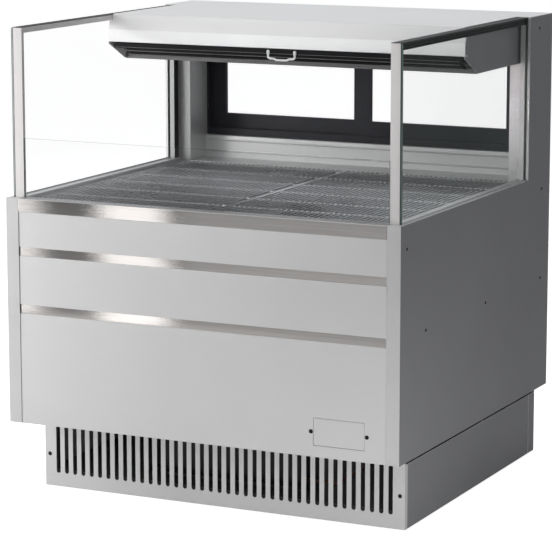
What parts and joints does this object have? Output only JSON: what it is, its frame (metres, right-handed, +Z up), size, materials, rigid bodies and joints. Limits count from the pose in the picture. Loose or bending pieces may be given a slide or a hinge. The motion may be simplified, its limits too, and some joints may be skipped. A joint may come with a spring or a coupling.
{
  "type": "refrigerated display merchandiser",
  "caption": "Low open-front refrigerated merchandiser with glass sides, canopy with night curtain, sliding rear glass doors and slotted base.",
  "frame": {"origin": "on the floor, under the centre of the cabinet's box", "axes": "+X to the right seen from the front, the front faces -Y, +Z up"},
  "size_m": [0.923, 0.868, 1.024],
  "materials": {
    "grey_skin": "semi-gloss coated sheet",
    "foam": "rigid polyurethane foam",
    "liner_steel": "satin",
    "panel_steel": "fine satin sheet",
    "brushed_trim": "long-grain brushed",
    "canopy_skin": "satin coated sheet",
    "polished_frame": "polished",
    "black_frame": "satin powder coat",
    "black_paint": "satin",
    "black_plastic": "moulded",
    "black_rubber": "matte",
    "black_screw": "black oxide",
    "white_plastic": "moulded",
    "blue_plastic": "bristles and holder",
    "lamp_lens": "frosted",
    "curtain_fabric": "woven black curtain",
    "white_wire": "dipped white",
    "clear_glass": "clear, faint green edge",
    "rack_wire": "bright wire",
    "coil_aluminium": "fin stock",
    "copper_tube": "bare copper",
    "zinc_steel": "zinc plated"
  },
  "bodies": {
    "cabinet": {"side_panel_left": "grey_skin", "side_panel_right": "grey_skin", "insulation": "foam", "well_liner": "liner_steel", "tower_left": "liner_steel", "tower_right": "liner_steel", "nose_trim": "brushed_trim", "upper_front_panel": "panel_steel", "middle_front_panel": "panel_steel", "lower_front_panel": "panel_steel", "trim_strips": "brushed_trim", "access_cover": "panel_steel", "thermostat": "white_plastic", "panel_screws": "black_screw", "base_frame": "black_paint", "base_grille": "panel_steel", "base_skirts": "grey_skin", "floor_pan": "zinc_steel", "levelling_feet": "zinc_steel", "rear_panel": "panel_steel", "back_wall": "liner_steel", "canopy_shell": "canopy_skin", "canopy_ends": "canopy_skin", "canopy_liner": "liner_steel", "air_nozzle": "black_plastic", "lamp_housing": "white_plastic", "lamp_lens": "lamp_lens", "curtain_brackets": "zinc_steel", "side_frame_left": "polished_frame", "side_frame_right": "polished_frame", "side_glass_left": "clear_glass", "side_glass_right": "clear_glass", "glass_gaskets": "black_rubber", "rear_channels": "polished_frame", "front_guard": "clear_glass", "door_frame": "black_frame", "evaporator_coil": "coil_aluminium", "evaporator_fan_plate": "zinc_steel", "fan_motors": "zinc_steel", "drain_tube": "white_plastic", "compressor": "black_paint", "condenser": "coil_aluminium", "condenser_shroud": "zinc_steel", "refrigerant_tubes": "copper_tube", "control_box": "white_plastic"},
    "left_door": {"rear_door_left": "black_frame", "door_glass_left": "clear_glass"},
    "right_door": {"rear_door_right": "black_frame", "door_glass_right": "clear_glass"},
    "curtain_bar": {"curtain_bar": "black_paint", "curtain_handle": "white_wire", "night_curtain": "curtain_fabric"},
    "curtain_roller": {"curtain_roller": "curtain_fabric"},
    "left_rack": {"deck_rack_left": "rack_wire"},
    "right_rack": {"deck_rack_right": "rack_wire"},
    "evaporator_fan": {"evaporator_fan": "black_plastic"},
    "condenser_fan": {"condenser_fan": "black_plastic"},
    "brush": {"cleaning_brush": "blue_plastic"},
    "screw": {"brush_screw": "zinc_steel"},
    "knob": {"thermostat_knob": "black_plastic"}
  },
  "joints": [
    {"name": "left_door_slide", "type": "slide", "parent": "cabinet", "child": "left_door", "axis": [1, 0, 0], "range_m": [0, 0.386]},
    {"name": "right_door_slide", "type": "slide", "parent": "cabinet", "child": "right_door", "axis": [-1, 0, 0], "range_m": [0, 0.386]},
    {"name": "curtain_slide", "type": "slide", "parent": "cabinet", "child": "curtain_bar", "axis": [0, -0.9385, -0.3454], "range_m": [0, 0.4193], "stiffness_N_per_m": 8, "springref_m": -0.9, "deforming": ["night_curtain"]},
    {"name": "roller_spin", "type": "hinge", "parent": "cabinet", "child": "curtain_roller", "pos_m": [0, 0.018, 0.985], "axis": [1, 0, 0], "range_deg": [0, 1005]},
    {"name": "left_rack_lift", "type": "slide", "parent": "cabinet", "child": "left_rack", "axis": [0, 0, 1], "range_m": [0, 0.15]},
    {"name": "right_rack_lift", "type": "slide", "parent": "cabinet", "child": "right_rack", "axis": [0, 0, 1], "range_m": [0, 0.15]},
    {"name": "evaporator_fan_spin", "type": "hinge", "parent": "cabinet", "child": "evaporator_fan", "pos_m": [0, 0.066, 0.525], "axis": [0, 1, 0], "continuous": true},
    {"name": "condenser_fan_spin", "type": "hinge", "parent": "cabinet", "child": "condenser_fan", "pos_m": [0, -0.19, 0.119], "axis": [0, 1, 0], "continuous": true},
    {"name": "brush_travel", "type": "slide", "parent": "cabinet", "child": "brush", "axis": [0, 0, 1], "range_m": [0, 0.13]},
    {"name": "screw_spin", "type": "hinge", "parent": "cabinet", "child": "screw", "pos_m": [-0.179, -0.297, 0.12], "axis": [0, 0, 1], "range_deg": [0, 5860]},
    {"name": "knob_turn", "type": "hinge", "parent": "cabinet", "child": "knob", "pos_m": [0.326, -0.414, 0.2165], "axis": [0, -1, 0], "range_deg": [0, 270]}
  ],
  "couplings": [
    {"joint": "roller_spin", "follows": "curtain_slide", "rad_per_m": 41.667},
    {"joint": "screw_spin", "follows": "brush_travel", "rad_per_m": 785.4}
  ]
}
